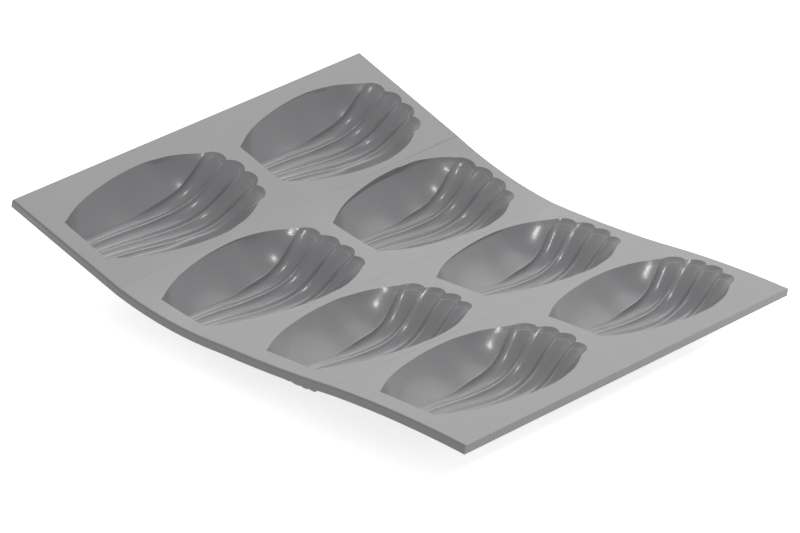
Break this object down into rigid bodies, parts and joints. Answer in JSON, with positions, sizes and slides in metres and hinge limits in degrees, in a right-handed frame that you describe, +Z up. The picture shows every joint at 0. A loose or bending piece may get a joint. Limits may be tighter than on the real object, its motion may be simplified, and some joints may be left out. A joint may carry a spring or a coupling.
{
  "type": "madeleine mould",
  "caption": "Bent rectangular sheet of flexible silicone with two rows of shell-shaped baking cups, each straight at one end and fluted at the other, standing on its cups",
  "frame": {"origin": "middle of the footprint, on the surface that the mould stands on", "axes": "+X along the sheet from its raised end, +Y across it from the cups' straight ends to their fluted ends, +Z up"},
  "size_m": [0.209, 0.1765, 0.0482],
  "materials": {
    "silicone": "satin grey moulded silicone"
  },
  "bodies": {
    "column_1": {"deck_panel_1": "silicone", "cup_shell_front_1": "silicone", "cup_shell_back_1": "silicone", "flex_web_1": "silicone"},
    "column_2": {"deck_panel_2": "silicone", "cup_shell_front_2": "silicone", "cup_shell_back_2": "silicone", "flex_web_2": "silicone"},
    "column_3": {"deck_panel_3": "silicone", "cup_shell_front_3": "silicone", "cup_shell_back_3": "silicone"},
    "column_4": {"deck_panel_4": "silicone", "cup_shell_front_4": "silicone", "cup_shell_back_4": "silicone", "flex_web_3": "silicone"}
  },
  "joints": [
    {"name": "fold_1", "type": "hinge", "parent": "column_2", "child": "column_1", "pos_m": [-0.04974, -0.00004, 0.02306], "axis": [0.0076, 0.998, 0.0629], "range_deg": [-25, 60], "stiffness_Nm_per_rad": 0.13, "deforming": ["flex_web_1"]},
    {"name": "fold_2", "type": "hinge", "parent": "column_3", "child": "column_2", "pos_m": [-0.00047, 0.00014, 0.01555], "axis": [0, 1, 0.0096], "range_deg": [-25, 60], "stiffness_Nm_per_rad": 0.13, "deforming": ["flex_web_2"]},
    {"name": "fold_3", "type": "hinge", "parent": "column_3", "child": "column_4", "pos_m": [0.04932, 0.00012, 0.01806], "axis": [-0.0009, -1, 0.0096], "range_deg": [-25, 60], "stiffness_Nm_per_rad": 0.13, "deforming": ["flex_web_3"]}
  ]
}
